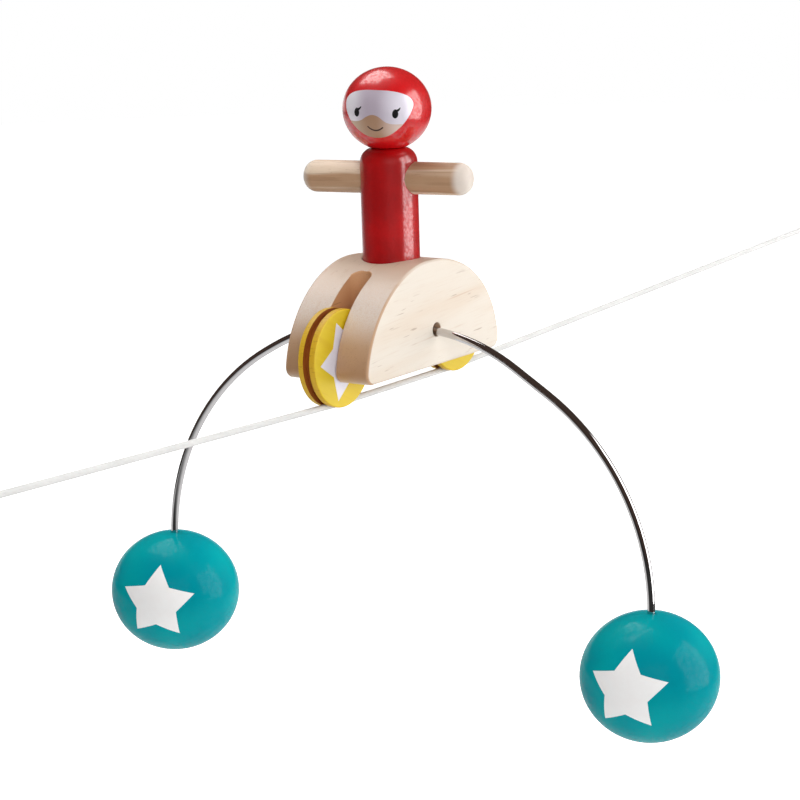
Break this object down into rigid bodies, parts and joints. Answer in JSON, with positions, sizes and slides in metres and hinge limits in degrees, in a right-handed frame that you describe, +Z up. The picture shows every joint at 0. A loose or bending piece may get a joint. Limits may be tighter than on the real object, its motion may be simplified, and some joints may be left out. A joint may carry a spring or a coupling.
{
  "type": "tightrope walker toy",
  "caption": "Wooden tightrope walker toy: a peg figure on a wheeled carriage rolls along a taut rope, balanced by balls on a bent steel wire that hangs below it.",
  "frame": {"origin": "centreline of the taut rope, midway between the two wheels that ride on it", "axes": "+X across the rope towards the figure's left hand, -Y along the rope the way the figure faces, +Z up"},
  "size_m": [0.2627, 0.6418, 0.243],
  "materials": {
    "carriage_wood": "bare sanded pale wood",
    "arm_wood": "bare sanded wood with brown grain",
    "dowel_wood": "bare dowel, end grain showing",
    "wheel_yellow": "yellow stain with the grain showing, white printed star",
    "figure_red": "glossy red enamel on wood",
    "ball_teal": "satin teal paint on wood, white printed star",
    "wire_steel": "polished steel wire",
    "rope_white": "white braided cord"
  },
  "bodies": {
    "rope": {"rope_front_run": "rope_white", "rope_rear_run": "rope_white", "rope_front_knot": "rope_white", "rope_rear_knot": "rope_white", "rope_front_loop": "rope_white", "rope_rear_loop": "rope_white"},
    "rope_dip": {"rope_under_walker": "rope_white"},
    "carriage": {"carriage_block": "carriage_wood", "front_axle": "dowel_wood", "rear_axle": "dowel_wood"},
    "front_wheel": {"front_wheel": "wheel_yellow"},
    "rear_wheel": {"rear_wheel": "wheel_yellow"},
    "figure": {"torso": "figure_red", "neck_dowel": "dowel_wood", "head": "figure_red", "left_arm": "arm_wood", "right_arm": "arm_wood"},
    "counterweight": {"balance_wire": "wire_steel", "left_ball": "ball_teal", "right_ball": "ball_teal"}
  },
  "joints": [
    {"name": "walker_travel", "type": "slide", "parent": "rope", "child": "rope_dip", "axis": [0, 1, 0], "range_m": [-0.11, 0.18], "deforming": ["rope_front_run", "rope_rear_run"]},
    {"name": "walker_sway", "type": "hinge", "parent": "rope_dip", "child": "carriage", "pos_m": [0, 0, 0], "axis": [0, 1, 0], "range_deg": [-30, 30]},
    {"name": "front_wheel_roll", "type": "hinge", "parent": "carriage", "child": "front_wheel", "pos_m": [0, -0.038, 0.0172], "axis": [1, 0, 0], "continuous": true},
    {"name": "rear_wheel_roll", "type": "hinge", "parent": "carriage", "child": "rear_wheel", "pos_m": [0, 0.038, 0.0172], "axis": [1, 0, 0], "continuous": true},
    {"name": "figure_turn", "type": "hinge", "parent": "carriage", "child": "figure", "pos_m": [0, 0, 0.0368], "axis": [0, 0, 1], "continuous": true},
    {"name": "balance_swing", "type": "hinge", "parent": "carriage", "child": "counterweight", "pos_m": [0, 0.0014, 0.0221], "axis": [1, 0, 0], "continuous": true}
  ],
  "couplings": [
    {"joint": "front_wheel_roll", "follows": "walker_travel", "rad_per_m": -62.5},
    {"joint": "rear_wheel_roll", "follows": "walker_travel", "rad_per_m": -62.5}
  ]
}
